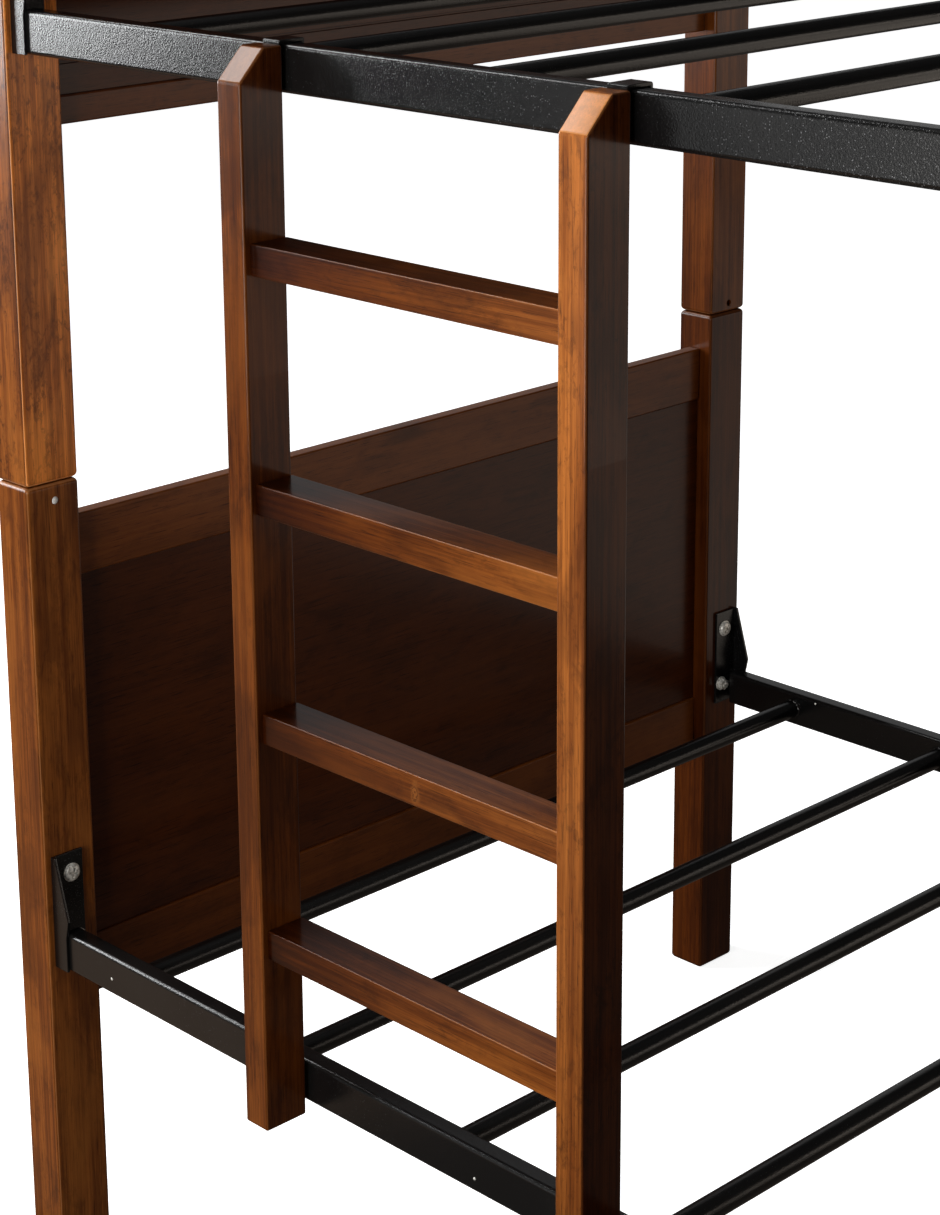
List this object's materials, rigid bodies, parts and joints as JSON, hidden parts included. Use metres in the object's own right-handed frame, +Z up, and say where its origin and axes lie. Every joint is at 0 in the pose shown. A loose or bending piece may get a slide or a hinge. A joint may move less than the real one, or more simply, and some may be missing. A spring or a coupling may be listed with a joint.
{
  "type": "bunk bed",
  "caption": "Bunk bed with wooden end frames, steel tube decks in steel side rails, guard rails and a wooden ladder that hooks over the upper side rail.",
  "frame": {"origin": "on the floor, in the middle of the space that the bed and its ladder take up", "axes": "+X along the bed from the left end, where the ladder hangs, to the right end; +Y from the front to the rear; +Z up"},
  "size_m": [2.028, 1.0846, 1.64],
  "materials": {
    "walnut_wood": "walnut stain under satin lacquer, on pine",
    "plain_wood": "plain beech dowel",
    "black_steel": "black powder coat, fine orange-peel texture, satin"
  },
  "bodies": {
    "lower_bunk": {"lower_post_front_left": "walnut_wood", "lower_post_rear_left": "walnut_wood", "lower_post_front_right": "walnut_wood", "lower_post_rear_right": "walnut_wood", "dowel_front_left": "plain_wood", "dowel_rear_left": "plain_wood", "dowel_front_right": "plain_wood", "dowel_rear_right": "plain_wood", "lower_end_left_top_rail": "walnut_wood", "lower_end_left_panel": "walnut_wood", "lower_end_left_bottom_rail": "walnut_wood", "lower_end_right_top_rail": "walnut_wood", "lower_end_right_panel": "walnut_wood", "lower_end_right_bottom_rail": "walnut_wood", "lower_side_rail_front": "black_steel", "lower_side_rail_rear": "black_steel", "lower_cross_tube_1": "black_steel", "lower_cross_tube_2": "black_steel", "lower_cross_tube_3": "black_steel", "lower_cross_tube_4": "black_steel", "lower_cross_tube_5": "black_steel", "lower_cross_tube_6": "black_steel", "lower_cross_tube_7": "black_steel", "lower_cross_tube_8": "black_steel", "lower_cross_tube_9": "black_steel"},
    "upper_bunk": {"upper_post_front_left": "walnut_wood", "upper_post_rear_left": "walnut_wood", "upper_post_front_right": "walnut_wood", "upper_post_rear_right": "walnut_wood", "upper_end_left_top_rail": "walnut_wood", "upper_end_left_panel": "walnut_wood", "upper_end_left_bottom_rail": "walnut_wood", "upper_end_right_top_rail": "walnut_wood", "upper_end_right_panel": "walnut_wood", "upper_end_right_bottom_rail": "walnut_wood", "upper_side_rail_front": "black_steel", "upper_side_rail_rear": "black_steel", "upper_cross_tube_1": "black_steel", "upper_cross_tube_2": "black_steel", "upper_cross_tube_3": "black_steel", "upper_cross_tube_4": "black_steel", "upper_cross_tube_5": "black_steel", "upper_cross_tube_6": "black_steel", "upper_cross_tube_7": "black_steel", "upper_cross_tube_8": "black_steel", "upper_cross_tube_9": "black_steel", "rear_guard_upper_rail": "black_steel", "rear_guard_lower_rail": "black_steel", "front_guard_upper_rail": "black_steel", "front_guard_lower_rail": "black_steel", "front_guard_upright": "black_steel"},
    "ladder": {"ladder_stile_left": "walnut_wood", "ladder_stile_right": "walnut_wood", "ladder_rung_1": "walnut_wood", "ladder_rung_2": "walnut_wood", "ladder_rung_3": "walnut_wood", "ladder_rung_4": "walnut_wood", "ladder_hook_left": "black_steel", "ladder_hook_right": "black_steel"}
  },
  "joints": [
    {"name": "upper_bunk_lift", "type": "slide", "parent": "lower_bunk", "child": "upper_bunk", "axis": [0, 0, 1], "range_m": [0, 0.06]},
    {"name": "ladder_lift", "type": "slide", "parent": "upper_bunk", "child": "ladder", "axis": [0, 0, 1], "range_m": [0, 0.04]}
  ]
}
